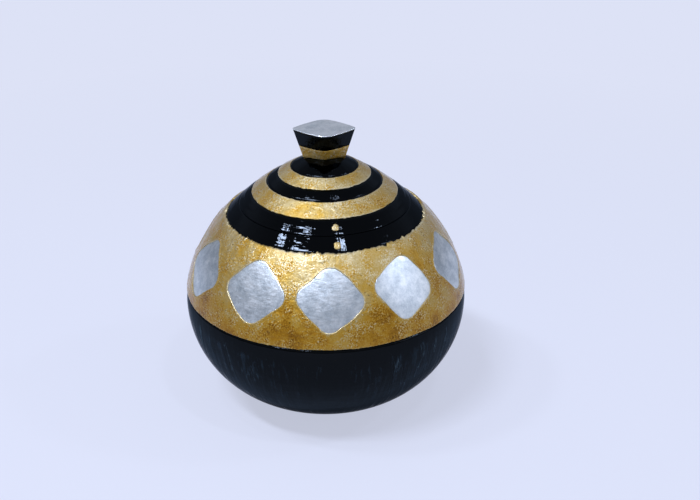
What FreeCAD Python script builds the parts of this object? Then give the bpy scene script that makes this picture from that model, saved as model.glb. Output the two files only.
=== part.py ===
import FreeCAD, Part
import math
import os

# A lidded pot made from a coconut shell, lacquered black, with a gilded belt of ten inlaid diamonds.
# Sizes are in millimetres and angles in degrees. Z is up, the table is Z = 0, and the pot's front faces -Y.

# The shell's outline is five arcs, each tangent to the next. A break is where one arc hands over to the next.
belly_radius = 59.9
lower_arc_radius = 44.5
belly_arc_radius = 22.0
flank_arc_radius = 64.0
roof_arc_radius = 126.0
base_break_angle = -81.6
flank_break_angle = 10.5
wall = 4.5

# The lid, sawn off the same shell: its edge, its height over the cut, and the small flat at its crown.
lid_radius = 36.1
lid_height = 20.5
crown_radius = 5.0
seam_round = 0.5
mouth_land = 1.2

# The ring glued inside the lid, which drops into the mouth and keeps the lid in place.
register_thickness = 2.6
register_clearance = 0.35
register_rebate = 2.0
register_drop = 4.5
register_round = 0.6

# The turned foot glued under the bowl, hollowed below so that it stands on its rim.
foot_height = 2.5
foot_radius = 20.0
foot_rim_width = 5.0
foot_recess = 1.0
foot_round = 0.8

# The gilded belt of lacquer putty in its groove, and the black band left between it and the seam.
belt_proud = 0.7
belt_depth = 2.2
belt_rise = 5.4
belt_round = 0.25
shoulder_band_height = 5.3

# The inlaid diamonds: flat-backed plates with a gentle crown, each bedded in its own pocket of the belt.
# They fill the belt but for a gap between neighbours and a margin to its edges.
tile_count = 10
tile_gap = 6.9
tile_margin = 5.7
tile_corner_radius = 5.0
tile_edge_radius = 90.0
tile_crown_radius = 80.0
tile_thickness = 2.0
tile_sink = 0.3
tile_clearance = 0.15
first_tile_angle = 1.5
tile_wander_angles = [0.5, -1.3, -1.5, -0.8, -0.2, 0.5, 1.2, 1.8, 2.5, 2.3]
tile_rise_angles = [0.9, 1.2, 0.1, 1.4, 0.5, 1.2, 1.5, 0.4, -0.7, 0.9]
tile_lean_angles = [-4.5, -17.0, -13.0, 4.0, -6.0, 5.0, -5.0, 7.0, 0.0, 1.0]

# The gilded rings let into the lid. Their inner and outer edges divide the lid's radius in plan.
narrow_ring_shares = [0.396, 0.532]
wide_ring_shares = [0.673, 0.839]
ring_depth = 0.4
ring_proud = 0.15

# The pair of gilded studs that show how the lid goes on.
mark_angle = 7.0
mark_radius = 1.6
mark_depth = 1.2
mark_proud = 0.25
mark_round = 0.2

# The knob: a carved, flared diamond, hollowed to sit on the crown, with a gilded foot and a silvered top.
knob_height = 13.2
knob_foot_half_width = 8.55
knob_foot_half_depth = 5.1
knob_top_half_width = 12.8
knob_top_half_depth = 10.0
knob_side_corner_share = 0.1
knob_front_corner_share = 0.42
knob_edge_share = 3.5
knob_band_height = 5.8
knob_band_thickness = 0.4
knob_plate_thickness = 0.5
knob_plate_round = 0.2

# The dowel that pins the knob to the lid.
dowel_radius = 3.0
dowel_clearance = 0.05
dowel_cover = 3.5
dowel_tail = 1.5
dowel_round = 0.4

# How far a cutting tool runs past what it cuts.
overrun = 5.0

AXIS = FreeCAD.Vector(0, 0, 1)
ORIGIN = FreeCAD.Vector(0, 0, 0)


def unit(angle):
    """Direction at an angle above the horizontal, as (outwards, up)."""
    return math.cos(math.radians(angle)), math.sin(math.radians(angle))


def roof_centre():
    """Centre of the roof arc as (radius, height over the cut): it runs from the lid's edge to its crown."""
    chord = math.hypot(lid_radius - crown_radius, lid_height)
    reach = math.sqrt(roof_arc_radius**2 - (chord / 2) ** 2)
    centre_radius = (lid_radius + crown_radius) / 2 - reach * lid_height / chord
    centre_height = lid_height / 2 - reach * (lid_radius - crown_radius) / chord
    return centre_radius, centre_height


def outline_arcs():
    """The outline's arcs from the base to the crown, as (centre radius, centre height, radius, last angle).

    The angle is that of the outward normal above the horizontal, which only grows along the outline.
    """
    lower_centre = belly_radius - lower_arc_radius
    out, up = unit(base_break_angle)
    base_radius = lower_arc_radius + lower_centre / out
    base_centre_height = foot_height + base_radius
    belly_height = base_centre_height + lower_centre * up / out
    belly_centre = belly_radius - belly_arc_radius
    out, up = unit(flank_break_angle)
    flank_step = flank_arc_radius - belly_arc_radius
    flank_centre = belly_centre - flank_step * out
    flank_centre_height = belly_height - flank_step * up
    roof_step = roof_arc_radius - flank_arc_radius
    roof_centre_radius = roof_centre()[0]
    roof_break_angle = math.degrees(math.acos((flank_centre - roof_centre_radius) / roof_step))
    roof_centre_height = flank_centre_height - roof_step * unit(roof_break_angle)[1]
    return [
        (0, base_centre_height, base_radius, base_break_angle),
        (lower_centre, belly_height, lower_arc_radius, 0),
        (belly_centre, belly_height, belly_arc_radius, flank_break_angle),
        (flank_centre, flank_centre_height, flank_arc_radius, roof_break_angle),
        (roof_centre_radius, roof_centre_height, roof_arc_radius, 90),
    ]


ARCS = outline_arcs()
BASE_ANGLE = -90


def arc_at(angle):
    """The arc of the outline that holds a normal angle."""
    return next(arc for arc in ARCS if angle <= arc[3])


def outline_point(angle, offset=0):
    """Point (radius, height) of the outline at a normal angle, moved outwards by an offset."""
    centre_radius, centre_height, radius, _ = arc_at(angle)
    out, up = unit(angle)
    return centre_radius + (radius + offset) * out, centre_height + (radius + offset) * up


def angle_at_radius(plan_radius, offset=0, side=1):
    """Normal angle where the outline, moved by an offset, has a radius in plan; side -1 looks below."""
    for centre_radius, _, radius, last in ARCS:
        share = (plan_radius - centre_radius) / (radius + offset)
        if abs(share) <= 1 and side * math.degrees(math.acos(share)) <= last:
            return side * math.degrees(math.acos(share))
    raise ValueError("the outline does not have that radius")


def angle_at_height(height, offset=0):
    """Normal angle where the outline, moved by an offset, passes a height."""
    for _, centre_height, radius, last in ARCS:
        share = (height - centre_height) / (radius + offset)
        if abs(share) <= 1 and math.degrees(math.asin(share)) <= last:
            return math.degrees(math.asin(share))
    raise ValueError("the outline does not reach that height")


def section(radius, height):
    """A point of the section plane, from its radius and height."""
    return FreeCAD.Vector(radius, 0, height)


def on_outline(angle, offset=0):
    """The section point of the outline at a normal angle, moved outwards by an offset."""
    return section(*outline_point(angle, offset))


def outline_edges(first, last, offset=0):
    """The outline's arcs between two normal angles, as edges in the section plane."""
    breaks = [arc[3] for arc in ARCS if first < arc[3] < last]
    edges = []
    for start, end in zip([first] + breaks, breaks + [last]):
        centre_radius, centre_height, radius, _ = arc_at(end)
        points = []
        for angle in (start, (start + end) / 2, end):
            out, up = unit(angle)
            reach = radius + offset
            points.append(section(centre_radius + reach * out, centre_height + reach * up))
        edges.append(Part.Arc(*points).toShape())
    return edges


def path(*points):
    """Straight edges from each point to the next."""
    return [Part.LineSegment(start, end).toShape() for start, end in zip(points, points[1:])]


def revolved(edges):
    """The solid that a closed section sweeps round the Z axis."""
    face = Part.Face(Part.Wire(Part.sortEdges(edges)[0]))
    return face.revolve(ORIGIN, AXIS, 360)


def rounded(shape, radius, *corners):
    """A turned shape with the round edges through some corners of its section filleted."""
    rims = [edge for edge in shape.Edges if edge.isClosed()]
    chosen = [min(rims, key=lambda rim: rim.distToShape(Part.Vertex(corner))[0]) for corner in corners]
    return shape.makeFillet(radius, chosen)


def volume():
    """Everything inside the outline, with its small flat crown."""
    edges = outline_edges(BASE_ANGLE, CROWN_ANGLE)
    return revolved(edges + path(on_outline(CROWN_ANGLE), section(0, CROWN_HEIGHT), on_outline(BASE_ANGLE)))


def layer(first, last, depth, proud):
    """A band laid on the outline between two normal angles, from a depth in the shell to a height over it."""
    edges = outline_edges(first, last, proud) + outline_edges(first, last, -depth)
    for angle in (first, last):
        edges += path(on_outline(angle, -depth), on_outline(angle, proud))
    return revolved(edges)


def upright(radius, bottom, top):
    """A round pin or cutter on the Z axis between two heights."""
    return Part.makeCylinder(radius, top - bottom, FreeCAD.Vector(0, 0, bottom))


def diamond(half_width, half_height, side_corner, end_corner, edge_radius, height=0):
    """A closed wire at a height: a diamond of four bowed edges that run smoothly into four round corners.

    Each bowed edge is an arc that holds its two corner circles inside it and touches both.
    """
    side_centre = half_width - side_corner
    end_centre = half_height - end_corner
    to_side = edge_radius - side_corner
    to_end = edge_radius - end_corner
    span = math.hypot(side_centre, end_centre)
    along = (to_side**2 - to_end**2 + span**2) / (2 * span)
    away = math.sqrt(to_side**2 - along**2)
    edge_x = side_centre - (side_centre * along + end_centre * away) / span
    edge_y = (end_centre * along - side_centre * away) / span
    side_x = side_centre + side_corner * (side_centre - edge_x) / to_side
    side_y = -side_corner * edge_y / to_side
    end_x = -end_corner * edge_x / to_end
    end_y = end_centre + end_corner * (end_centre - edge_y) / to_end
    towards_x = side_x + end_x - 2 * edge_x
    towards_y = side_y + end_y - 2 * edge_y
    stretch = edge_radius / math.hypot(towards_x, towards_y)
    bow_x = edge_x + stretch * towards_x
    bow_y = edge_y + stretch * towards_y

    def at(x, y):
        return FreeCAD.Vector(x, y, height)

    edges = [
        Part.Arc(at(side_x, -side_y), at(half_width, 0), at(side_x, side_y)),
        Part.Arc(at(side_x, side_y), at(bow_x, bow_y), at(end_x, end_y)),
        Part.Arc(at(end_x, end_y), at(0, half_height), at(-end_x, end_y)),
        Part.Arc(at(-end_x, end_y), at(-bow_x, bow_y), at(-side_x, side_y)),
        Part.Arc(at(-side_x, side_y), at(-half_width, 0), at(-side_x, -side_y)),
        Part.Arc(at(-side_x, -side_y), at(-bow_x, -bow_y), at(-end_x, -end_y)),
        Part.Arc(at(-end_x, -end_y), at(0, -half_height), at(end_x, -end_y)),
        Part.Arc(at(end_x, -end_y), at(bow_x, -bow_y), at(side_x, -side_y)),
    ]
    return Part.Wire([edge.toShape() for edge in edges])


def seated(shape, angle, azimuth, lean=0):
    """A shape drawn flat on XY, stood on the outline at a normal angle and turned round to an azimuth."""
    placed = shape.copy()
    placed.rotate(ORIGIN, AXIS, lean)
    placed.rotate(ORIGIN, FreeCAD.Vector(1, 0, 0), 90 - angle)
    radius, height = outline_point(angle)
    placed.translate(FreeCAD.Vector(0, -radius, height))
    placed.rotate(ORIGIN, AXIS, azimuth)
    return placed


SEAM_HEIGHT = ARCS[-1][1] - roof_centre()[1]
SEAM_ANGLE = angle_at_height(SEAM_HEIGHT)
CROWN_HEIGHT = SEAM_HEIGHT + lid_height
CROWN_ANGLE = angle_at_radius(crown_radius)
BELLY_HEIGHT = outline_point(0)[1]
BELT_FOOT_ANGLE = angle_at_height(BELLY_HEIGHT + belt_rise)
BELT_TOP_ANGLE = angle_at_height(SEAM_HEIGHT - shoulder_band_height)
BELT_MIDDLE_ANGLE = (BELT_FOOT_ANGLE + BELT_TOP_ANGLE) / 2
BELT_SPAN = math.dist(outline_point(BELT_FOOT_ANGLE), outline_point(BELT_TOP_ANGLE))
WIDE_RING_ANGLE = angle_at_radius(lid_radius * wide_ring_shares[1])
MOUTH_RADIUS = outline_point(angle_at_height(SEAM_HEIGHT, -wall), -wall)[0] + mouth_land
REGISTER_RADIUS = MOUTH_RADIUS - register_clearance
TILE_HALF_WIDTH = math.pi * outline_point(BELT_MIDDLE_ANGLE)[0] / tile_count - tile_gap / 2
TILE_HALF_HEIGHT = BELT_SPAN / 2 - tile_margin
TILE_FLOOR = belt_proud - tile_sink - tile_thickness
KNOB_FOOT = outline_point(angle_at_radius(knob_foot_half_width))[1]
KNOB_TOP = KNOB_FOOT + knob_height


def bedded(shape, index):
    """A diamond's shape in its own place on the belt, with the small errors of the hand that laid it."""
    turn = first_tile_angle + 360 / tile_count * index + tile_wander_angles[index % len(tile_wander_angles)]
    rise = tile_rise_angles[index % len(tile_rise_angles)]
    lean = tile_lean_angles[index % len(tile_lean_angles)]
    return seated(shape, BELT_MIDDLE_ANGLE + rise, turn, lean)


def tile_prism(margin, height):
    """A diamond's outline, grown by a margin and raised from the pocket's floor."""
    wire = diamond(
        TILE_HALF_WIDTH + margin,
        TILE_HALF_HEIGHT + margin,
        tile_corner_radius + margin,
        tile_corner_radius + margin,
        tile_edge_radius + margin,
        TILE_FLOOR,
    )
    return Part.Face(wire).extrude(FreeCAD.Vector(0, 0, height))


def pockets():
    """The flat-floored pockets that the diamonds lie in."""
    prism = tile_prism(tile_clearance, tile_thickness + overrun)
    return [bedded(prism, index) for index in range(tile_count)]


def tiles():
    """The inlaid diamonds, each with a crowned face."""
    crown_centre = FreeCAD.Vector(0, 0, TILE_FLOOR + tile_thickness - tile_crown_radius)
    crown = Part.makeSphere(tile_crown_radius, crown_centre)
    plate = tile_prism(0, tile_thickness + overrun).common(crown)
    return [bedded(plate, index) for index in range(tile_count)]


def mark(low_angle, high_angle):
    """A gilded stud in the middle of a black band."""
    stud = upright(mark_radius, -mark_depth, mark_proud)
    stud = rounded(stud, mark_round, section(mark_radius, mark_proud))
    return seated(stud, (low_angle + high_angle) / 2, mark_angle)


def bowl_shell(cutters):
    """The lower part of the coconut shell, with the belt's groove, its stud's hole and a trimmed mouth."""
    rim = on_outline(SEAM_ANGLE)
    mouth_angle = angle_at_radius(MOUTH_RADIUS, -wall)
    edges = outline_edges(BASE_ANGLE, SEAM_ANGLE)
    edges += path(rim, section(MOUTH_RADIUS, SEAM_HEIGHT), on_outline(mouth_angle, -wall))
    edges += outline_edges(BASE_ANGLE, mouth_angle, -wall)
    edges += path(on_outline(BASE_ANGLE, -wall), on_outline(BASE_ANGLE))
    return rounded(revolved(edges), seam_round, rim).cut(cutters)


def lid_shell(cutters):
    """The cap of the coconut shell, rebated inside for the register ring."""
    edge = on_outline(SEAM_ANGLE)
    rebate_top = SEAM_HEIGHT + register_rebate
    rebate_angle = angle_at_height(rebate_top, -wall)
    ceiling_angle = angle_at_radius(crown_radius, -wall)
    ceiling = on_outline(ceiling_angle, -wall)
    edges = outline_edges(SEAM_ANGLE, CROWN_ANGLE)
    edges += path(on_outline(CROWN_ANGLE), section(0, CROWN_HEIGHT), section(0, ceiling.z), ceiling)
    edges += outline_edges(rebate_angle, ceiling_angle, -wall)
    edges += path(
        on_outline(rebate_angle, -wall),
        section(REGISTER_RADIUS, rebate_top),
        section(REGISTER_RADIUS, SEAM_HEIGHT),
        edge,
    )
    return rounded(revolved(edges), seam_round, edge).cut(cutters)


def register_ring():
    """The ring glued into the lid's rebate."""
    bottom = SEAM_HEIGHT - register_drop
    top = SEAM_HEIGHT + register_rebate
    blank = rounded(upright(REGISTER_RADIUS, bottom, top), register_round, section(REGISTER_RADIUS, bottom))
    return blank.cut(upright(REGISTER_RADIUS - register_thickness, bottom, top))


def foot():
    """The turned foot, its top shaped to the round base that it is glued to."""
    edge_angle = angle_at_radius(foot_radius, side=-1)
    corner = section(foot_radius, 0)
    rim_inner = foot_radius - foot_rim_width
    edges = outline_edges(BASE_ANGLE, edge_angle)
    edges += path(on_outline(edge_angle), corner, section(rim_inner, 0), section(rim_inner, foot_recess))
    edges += path(section(rim_inner, foot_recess), section(0, foot_recess), on_outline(BASE_ANGLE))
    return rounded(revolved(edges), foot_round, corner)


def belt():
    """The gilded belt, bedded in its groove and standing proud of the shell, before its pockets are cut."""
    band = layer(BELT_FOOT_ANGLE, BELT_TOP_ANGLE, belt_depth, belt_proud)
    corners = [on_outline(angle, belt_proud) for angle in (BELT_FOOT_ANGLE, BELT_TOP_ANGLE)]
    return rounded(band, belt_round, *corners)


def lid_ring(shares):
    """A gilded ring of the lid, from its inner and outer shares of the lid's radius."""
    inner, outer = [angle_at_radius(lid_radius * share) for share in shares]
    return layer(outer, inner, ring_depth, ring_proud)


def knob_frustum(bottom, top, inset=0):
    """The knob's flared diamond between two heights, drawn in by an inset."""
    wires = []
    for height in (bottom, top):
        share = (height - KNOB_FOOT) / knob_height
        half_width = knob_foot_half_width + (knob_top_half_width - knob_foot_half_width) * share
        half_depth = knob_foot_half_depth + (knob_top_half_depth - knob_foot_half_depth) * share
        wires.append(
            diamond(
                half_width - inset,
                half_depth - inset,
                half_width * knob_side_corner_share,
                half_width * knob_front_corner_share,
                half_width * knob_edge_share,
                height,
            )
        )
    return Part.makeLoft(wires, True, True)


def knob_parts():
    """The knob's wooden body, gilded band and silvered plate, seated on the lid's crown."""
    crown = volume()
    plate_bottom = KNOB_TOP - knob_plate_thickness
    band_top = KNOB_FOOT + knob_band_height
    band = knob_frustum(KNOB_FOOT, band_top).cut(crown)
    band = band.cut(knob_frustum(KNOB_FOOT, band_top, knob_band_thickness))
    bore = upright(dowel_radius + dowel_clearance, KNOB_FOOT, KNOB_TOP - dowel_cover)
    body = knob_frustum(KNOB_FOOT, plate_bottom).cut(crown).cut(band).cut(bore)
    plate = knob_frustum(plate_bottom, KNOB_TOP)
    top_face = max(plate.Faces, key=lambda face: face.CenterOfMass.z)
    return body, band, plate.makeFillet(knob_plate_round, top_face.Edges)


def dowel():
    """The pin from inside the lid up into the knob."""
    ceiling = outline_point(angle_at_radius(crown_radius, -wall), -wall)[1]
    bottom = ceiling - dowel_tail
    top = KNOB_TOP - dowel_cover - dowel_clearance
    ends = [section(dowel_radius, bottom), section(dowel_radius, top)]
    return rounded(upright(dowel_radius, bottom, top), dowel_round, *ends)


def dowel_hole():
    """The hole through the lid's crown for the dowel."""
    return upright(dowel_radius + dowel_clearance, SEAM_HEIGHT, CROWN_HEIGHT + overrun)


def save(name, shape):
    """Write one sub-part, and print its size as a check."""
    solids = shape.Solids
    shape = solids[0] if len(solids) == 1 else Part.makeCompound(solids)
    shape.exportStep(f"parts/{name}.step")
    box = shape.BoundBox
    size = f"{box.XLength:.1f} x {box.YLength:.1f} x {box.ZLength:.1f}"
    print(f"{name}: {len(solids)} solid, valid {shape.isValid()}, {size} mm, {shape.Volume:.0f} mm3")


def main():
    os.makedirs("parts", exist_ok=True)
    band = belt()
    bowl_mark = mark(BELT_TOP_ANGLE, SEAM_ANGLE)
    save("bowl_shell", bowl_shell([band, bowl_mark]))
    save("foot", foot())
    save("gilded_belt", band.cut(pockets()))
    save("bowl_mark", bowl_mark)
    for index, tile in enumerate(tiles(), 1):
        save(f"inlay_diamond_{index:02d}", tile)

    narrow_ring = lid_ring(narrow_ring_shares)
    wide_ring = lid_ring(wide_ring_shares)
    lid_mark = mark(SEAM_ANGLE, WIDE_RING_ANGLE)
    save("lid_shell", lid_shell([narrow_ring, wide_ring, lid_mark, dowel_hole()]))
    save("lid_register_ring", register_ring())
    save("lid_narrow_ring", narrow_ring)
    save("lid_wide_ring", wide_ring)
    save("lid_mark", lid_mark)
    knob_body, knob_band, knob_plate = knob_parts()
    save("knob_body", knob_body)
    save("knob_gilded_band", knob_band)
    save("knob_top_plate", knob_plate)
    save("knob_dowel", dowel())


main()
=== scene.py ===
# %% [markdown]
# # A lidded pot made from a coconut shell
# The pot is one coconut shell, sawn into a bowl and a lid and covered in black lacquer. Gilded putty rings and a
# broad gilded belt run round it, and ten silvered diamonds lie in the belt. The construction comes as a fixed
# frame of nodes at their real sizes. This script gives every visible surface its finish, and makes new meshes where
# the hand-made surface needs more than the plain solid: grain in the gilding, ragged edges, bedded plates.

# %% Load the frame
import math

import bpy
import numpy as np
from mathutils import Matrix, Vector


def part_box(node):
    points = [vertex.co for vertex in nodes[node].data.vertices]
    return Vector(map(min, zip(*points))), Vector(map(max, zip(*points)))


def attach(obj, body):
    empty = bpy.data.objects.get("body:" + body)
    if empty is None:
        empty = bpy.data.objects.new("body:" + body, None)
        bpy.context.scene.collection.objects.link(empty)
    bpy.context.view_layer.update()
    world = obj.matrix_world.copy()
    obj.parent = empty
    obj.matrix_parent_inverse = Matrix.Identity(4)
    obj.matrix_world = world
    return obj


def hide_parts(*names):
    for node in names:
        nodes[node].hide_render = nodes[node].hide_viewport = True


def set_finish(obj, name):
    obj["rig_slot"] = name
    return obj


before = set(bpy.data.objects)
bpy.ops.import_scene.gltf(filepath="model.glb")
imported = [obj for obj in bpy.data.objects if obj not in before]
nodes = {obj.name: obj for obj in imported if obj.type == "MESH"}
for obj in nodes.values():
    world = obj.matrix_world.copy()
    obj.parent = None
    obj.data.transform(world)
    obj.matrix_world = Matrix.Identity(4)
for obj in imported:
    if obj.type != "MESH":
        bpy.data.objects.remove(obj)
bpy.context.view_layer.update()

# %% [markdown]
# ## The outline of the shell
# Everything on the pot is turned, so one outline describes nearly all of it. It could be read off the solids, but
# their facets would show in a glossy coat. It is worked out again from the same five tangent arcs instead, each
# given by a centre, a radius and the angle of the surface normal where it ends.

# %% Sizes of the shell in metres
MM = 0.001
belly_radius = 59.9 * MM
lower_arc_radius = 44.5 * MM
belly_arc_radius = 22.0 * MM
flank_arc_radius = 64.0 * MM
roof_arc_radius = 126.0 * MM
base_break = math.radians(-81.6)
flank_break = math.radians(10.5)
wall = 4.5 * MM
foot_height = 2.5 * MM
lid_radius = 36.1 * MM
lid_height = 20.5 * MM
crown_radius = 5.0 * MM


def outline_arcs():
    """Five tangent arcs from base to crown, as rows of centre radius, centre height, radius and last normal angle.

    Each arc's centre lies on the normal where the arc before it ends. The roof arc's centre comes from its chord,
    between the lid's edge and the crown's, and where it takes over from the flank arc follows from that.
    """
    lower_centre = belly_radius - lower_arc_radius
    base_radius = lower_arc_radius + lower_centre / math.cos(base_break)
    base_height = foot_height + base_radius
    belly_height = base_height + lower_centre * math.tan(base_break)
    belly_centre = belly_radius - belly_arc_radius
    flank_step = flank_arc_radius - belly_arc_radius
    flank_centre = belly_centre - flank_step * math.cos(flank_break)
    flank_height = belly_height - flank_step * math.sin(flank_break)
    chord = math.hypot(lid_radius - crown_radius, lid_height)
    reach = math.sqrt(roof_arc_radius**2 - (chord / 2) ** 2)
    roof_centre = (lid_radius + crown_radius) / 2 - reach * lid_height / chord
    roof_step = roof_arc_radius - flank_arc_radius
    roof_break = math.acos((flank_centre - roof_centre) / roof_step)
    roof_height = flank_height - roof_step * math.sin(roof_break)
    return np.array(
        [
            [0, base_height, base_radius, base_break],
            [lower_centre, belly_height, lower_arc_radius, 0],
            [belly_centre, belly_height, belly_arc_radius, flank_break],
            [flank_centre, flank_height, flank_arc_radius, roof_break],
            [roof_centre, roof_height, roof_arc_radius, math.pi / 2],
        ]
    )


ARCS = outline_arcs()


def outline(angle, offset=0.0):
    """Radius and height of the outline at normal angles: the arc's centre plus its radius and an offset that way."""
    row = np.searchsorted(ARCS[:-1, 3], angle)
    reach = ARCS[row, 2] + offset
    return ARCS[row, 0] + reach * np.cos(angle), ARCS[row, 1] + reach * np.sin(angle)


# A fine table to look angles up in, from straight down at the base to just past the axis on the roof
EVERY_ANGLE = np.linspace(-math.pi / 2, math.radians(70), 40001)


def angle_at_height(height, offset=0.0):
    """Normal angle where the outline, moved outwards by an offset, passes a height. Height only grows along it."""
    return np.interp(height, outline(EVERY_ANGLE, offset)[1], EVERY_ANGLE)


def angle_at_radius(radius, offset=0.0):
    """Normal angle above the belly where the moved outline has a radius. Radius only shrinks there."""
    upper = EVERY_ANGLE[EVERY_ANGLE > 0]
    return np.interp(-radius, -outline(upper, offset)[0], upper)


belt_rise = 5.4 * MM
shoulder_band_height = 5.3 * MM
seam_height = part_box("lid_shell")[0].z
seam_angle = angle_at_height(seam_height)
crown_angle = angle_at_radius(crown_radius)
crown_height = outline(crown_angle)[1]
belt_low = angle_at_height(outline(0.0)[1] + belt_rise)
belt_high = angle_at_height(seam_height - shoulder_band_height)
print("belt from %.2f to %.2f degrees" % (math.degrees(belt_low), math.degrees(belt_high)))

# %% [markdown]
# ## Surfaces from formulas
# Each new piece is one closed surface: a section given as rows of points, carried round as columns. Working on
# whole arrays keeps the formulas readable, and a fan of triangles at each pole leaves no hole anywhere.

# %% Turn a grid of points into a mesh
pieces = {}


def closed_surface(name, points, body, slot, *stands_for, capped=True):
    """A closed mesh from points laid out as [row, column, xyz], whose columns join in a ring.

    Rows run up the outside and down the inside, and columns run anticlockwise seen from above. With caps, a fan to
    the mean of the first and last row closes each end. Without, the last row joins on to the first.
    """
    rows, columns = points.shape[:2]
    here = np.arange(columns)
    after = (here + 1) % columns
    row = np.arange(rows - 1 if capped else rows)[:, None] * columns
    above = (row + columns) % (rows * columns)
    quads = np.stack([row + here, row + after, above + after, above + here], -1).reshape(-1, 4)
    vertices = points.reshape(-1, 3)
    fans = []
    if capped:
        count, last = rows * columns, (rows - 1) * columns
        vertices = np.vstack([vertices, points[0].mean(0), points[-1].mean(0)])
        fans += np.stack([after, here, np.full(columns, count)], -1).tolist()
        fans += np.stack([last + here, last + after, np.full(columns, count + 1)], -1).tolist()
    mesh = bpy.data.meshes.new(name)
    mesh.from_pydata(vertices.tolist(), [], quads.tolist() + fans)
    mesh.polygons.foreach_set("use_smooth", np.ones(len(mesh.polygons), bool))
    mesh.update()
    piece = bpy.data.objects.new(name, mesh)
    bpy.context.collection.objects.link(piece)
    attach(piece, body)
    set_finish(piece, slot)
    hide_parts(*stands_for)
    pieces[name] = piece
    print("%-22s %6d faces" % (name, len(mesh.polygons)))
    return piece


def mark_points(piece, name, values, shape):
    """Store one value per point of the grid as a point attribute, for a material to read. Poles keep 0."""
    attribute = piece.data.attributes.new(name, "FLOAT", "POINT")
    filled = np.zeros(len(piece.data.vertices), np.float32)
    filled[: np.prod(shape)] = np.broadcast_to(values, shape).ravel()
    attribute.data.foreach_set("value", filled)


def round_the_axis(count):
    """Evenly spaced azimuths once round the axis. Azimuth 0 is the front, -Y, and they grow towards +X."""
    return np.linspace(0, 2 * math.pi, count, endpoint=False)


def turned(radius, height, azimuth):
    """Points at radii, heights and azimuths: (radius sin azimuth, -radius cos azimuth, height)."""
    radius, height, azimuth = np.broadcast_arrays(radius, height, azimuth)
    return np.stack([radius * np.sin(azimuth), -radius * np.cos(azimuth), height], -1)


def lumps(turn, across, round_count, across_count, seed):
    """Smooth noise from -1 to 1 that closes on itself: random values on a lattice, joined by cubic blends.

    Turn and across are shares from 0 to 1, and the counts say how many lumps lie along each.
    """
    table = np.random.default_rng(seed).uniform(-1, 1, (across_count + 2, round_count))
    u = turn % 1 * round_count
    v = np.clip(across, 0, 1) * across_count
    column = np.floor(u).astype(int) % round_count
    row = np.floor(v).astype(int)
    u, v = u - np.floor(u), v - row
    u, v = u * u * (3 - 2 * u), v * v * (3 - 2 * v)
    beside = (column + 1) % round_count
    low = table[row, column] * (1 - u) + table[row, beside] * u
    high = table[row + 1, column] * (1 - u) + table[row + 1, beside] * u
    return low * (1 - v) + high * v


# %% [markdown]
# ## The lacquered shell, bowl and lid
# Both halves are the same coconut shell under many coats of black lacquer, rubbed smooth. The bowl's section runs
# from the base up the outside, in and out of the belt's groove, over the mouth and down the inside. The lid's runs
# down its ceiling, round the rebate and the edge, up over the crown and back down the dowel's hole. A Screw modifier
# could turn a drawn curve, but points worked out from the outline meet every groove where the frame has it.

# %% Write the two sections
shell_columns = 480
belt_depth = 2.2 * MM
ring_depth = 0.4 * MM
ring_shares = {"narrow": (0.396, 0.532), "wide": (0.673, 0.839)}
mouth_land = 1.2 * MM
register_clearance = 0.35 * MM
register_rebate = 2.0 * MM
bowl_edge_round = 0.5 * MM
lid_edge_round = 0.25 * MM
dowel_hole_radius = 3.05 * MM
# The rounded edges turn off the outline this far from the seam
bowl_edge_start, lid_edge_start = 0.3 * MM, 1.0 * MM
# The base's first row lies just off the axis, and a fan closes it
lowest = math.radians(-89.6)
ring_angles = {
    name: [angle_at_radius(lid_radius * share) for share in shares[::-1]] for name, shares in ring_shares.items()
}


def run(first, last, step=1.2 * MM, offset=0.0):
    """Section points along the outline between two normal angles, about one step apart."""
    ends = np.stack(outline(np.array([first, last]), offset), -1)
    count = max(2, int(np.hypot(*(ends[1] - ends[0])) / step))
    return np.stack(outline(np.linspace(first, last, count), offset), -1)


def outside(first, last, grooves):
    """The outline between two angles, dipping into each groove, given as (low angle, high angle, depth)."""
    rows, start = [], first
    for low, high, depth in grooves:
        rows += [run(start, low), run(low, high, offset=-depth)]
        start = high
    return np.vstack(rows + [run(start, last)])


def fillet(corner, before, after, radius, steps=7):
    """Points of the arc that rounds a corner between the directions from and to two neighbours.

    The arc starts and ends radius * tan(half the turn) from the corner, and its centre lies on the inner side.
    """
    corner = np.asarray(corner)
    came = (corner - before) / np.hypot(*(corner - before))
    goes = (after - corner) / np.hypot(*(after - corner))
    turn = math.atan2(came[0] * goes[1] - came[1] * goes[0], came @ goes)
    side = math.copysign(1, turn)
    start = corner - came * radius * math.tan(abs(turn) / 2)
    centre = start + side * radius * np.array([-came[1], came[0]])
    angle = np.linspace(0, turn, steps)[:, None]
    arm = start - centre
    return centre + arm * np.cos(angle) + np.array([-arm[1], arm[0]]) * np.sin(angle)


seam_edge = np.array(outline(seam_angle))
mouth_radius = outline(angle_at_height(seam_height, -wall), -wall)[0] + mouth_land
mouth_angle = angle_at_radius(mouth_radius, -wall)
mouth_edge = np.array([mouth_radius, seam_height])
below_seam = angle_at_height(seam_height - bowl_edge_start)
above_seam = angle_at_height(seam_height + lid_edge_start)
bowl_section = np.vstack(
    [
        outside(lowest, below_seam, [(belt_low, belt_high, belt_depth)]),
        fillet(seam_edge, np.array(outline(below_seam)), mouth_edge, bowl_edge_round),
        [mouth_edge],
        run(mouth_angle, lowest, offset=-wall),
    ]
)
register_radius = mouth_radius - register_clearance
rebate_top = seam_height + register_rebate
rebate_angle = angle_at_height(rebate_top, -wall)
ceiling_angle = angle_at_radius(crown_radius, -wall)
ceiling = outline(ceiling_angle, -wall)[1]
register_foot = np.array([register_radius, seam_height])
grooves = [(*ring_angles[name], ring_depth) for name in ("wide", "narrow")]
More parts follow.
